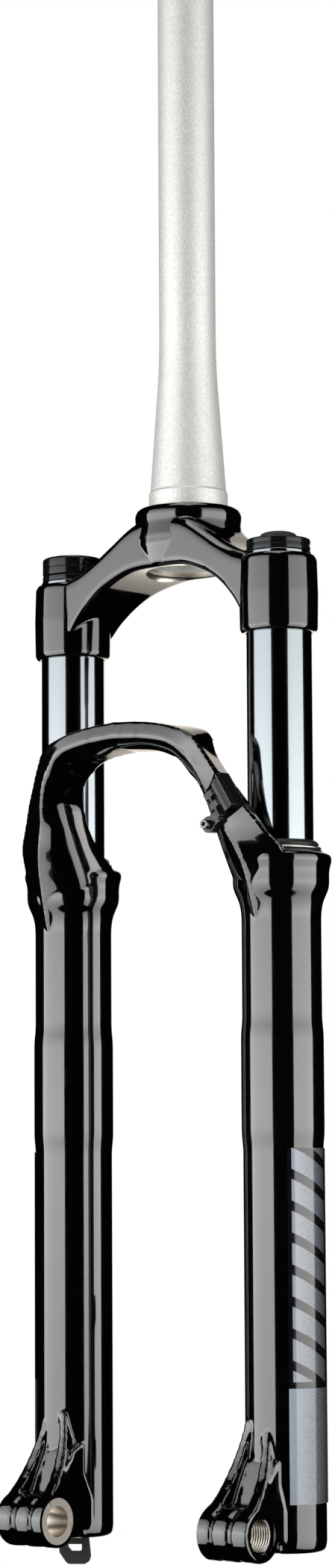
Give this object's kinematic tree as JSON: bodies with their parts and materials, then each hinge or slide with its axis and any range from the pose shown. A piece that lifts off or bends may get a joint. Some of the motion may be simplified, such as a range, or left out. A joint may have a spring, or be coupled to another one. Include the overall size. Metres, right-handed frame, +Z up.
{
  "type": "suspension fork",
  "caption": "Bicycle suspension fork: a tapered steerer and crown holding stanchions that slide in a one-piece cast lower with an arch, thru-axle dropouts and disc brake posts.",
  "frame": {"origin": "centre of the crown race seat, on the steerer's axis", "axes": "+Z up along the steerer, -Y towards the front of the bicycle, +X towards the rider's left"},
  "size_m": [0.1856, 0.0875, 0.7902],
  "materials": {
    "blasted_alloy": "bead-blasted bare aluminium, fine grain",
    "gloss_black": "gloss black paint on cast magnesium",
    "polished_alloy": "dark anodised aluminium, polished",
    "black_alloy": "black anodised aluminium",
    "brass": "bare brass",
    "dark_plastic": "black moulded nylon",
    "matte_plastic": "dark matt moulded plastic",
    "token_plastic": "red moulded plastic",
    "head_plastic": "dark grey engineering plastic",
    "alloy": "turned aluminium",
    "steel": "bright steel",
    "rubber": "black nitrile rubber",
    "seal_rubber": "black wiper rubber",
    "bumper": "black elastomer",
    "foam": "oil-soaked open foam",
    "glide": "filled PTFE",
    "bushing": "bronze-backed PTFE bushing",
    "decal": "printed film, blue-grey fading to black"
  },
  "bodies": {
    "upper": {"steerer_tube": "blasted_alloy", "crown": "gloss_black", "stanchion_left": "polished_alloy", "stanchion_right": "polished_alloy", "air_top_cap": "black_alloy", "air_top_cap_o_ring": "rubber", "air_valve_body": "brass", "volume_token": "token_plastic", "air_seal_head": "head_plastic", "air_seal_head_o_ring": "rubber", "snap_ring_left": "steel", "snap_ring_right": "steel", "damper_top_cap": "black_alloy", "damper_top_cap_o_ring": "rubber", "compression_tube": "head_plastic", "compression_piston": "alloy", "compression_piston_ring": "rubber", "rebound_seal_head": "head_plastic", "rebound_seal_head_o_ring": "rubber"},
    "lowers": {"lower_legs": "gloss_black", "bushing_upper_left": "bushing", "bushing_lower_left": "bushing", "bushing_upper_right": "bushing", "bushing_lower_right": "bushing", "wiper_seal_left": "seal_rubber", "wiper_seal_right": "seal_rubber", "wiper_spring_left": "steel", "wiper_spring_right": "steel", "foam_ring_left": "foam", "foam_ring_right": "foam", "hose_guide": "dark_plastic", "hose_guide_screw": "steel", "decal_left": "decal", "decal_right": "decal", "air_shaft": "black_alloy", "air_piston": "alloy", "air_piston_seal": "rubber", "top_out_bumper": "bumper", "bottom_out_bumper": "bumper", "foot_bolt_left": "black_alloy", "foot_bolt_right": "black_alloy", "crush_washer_left": "alloy", "crush_washer_right": "alloy", "rebound_shaft": "black_alloy", "rebound_piston": "alloy", "rebound_glide_ring": "glide", "top_out_spring": "steel"},
    "lockout": {"lockout_knob": "black_alloy", "knob_screw": "alloy", "compression_rod": "alloy"},
    "valve_cap": {"air_valve_cap": "dark_plastic"},
    "valve_pin": {"air_valve_pin": "steel"},
    "rebound": {"rebound_knob": "matte_plastic", "rebound_needle": "steel"}
  },
  "joints": [
    {"name": "travel", "type": "slide", "parent": "upper", "child": "lowers", "axis": [0, 0, 1], "range_m": [0, 0.1], "stiffness_N_per_m": 8000},
    {"name": "lockout_turn", "type": "hinge", "parent": "upper", "child": "lockout", "pos_m": [-0.068, -0.012, -0.0235], "axis": [0, 0, -1], "range_deg": [0, 90]},
    {"name": "rebound_turn", "type": "hinge", "parent": "lowers", "child": "rebound", "pos_m": [-0.068, -0.012, -0.5185], "axis": [0, 0, 1], "range_deg": [-180, 180]},
    {"name": "valve_cap_lift", "type": "slide", "parent": "upper", "child": "valve_cap", "axis": [0, 0, 1], "range_m": [0, 0.012]},
    {"name": "valve_pin_press", "type": "slide", "parent": "upper", "child": "valve_pin", "axis": [0, 0, -1], "range_m": [0, 0.0015], "stiffness_N_per_m": 600}
  ]
}
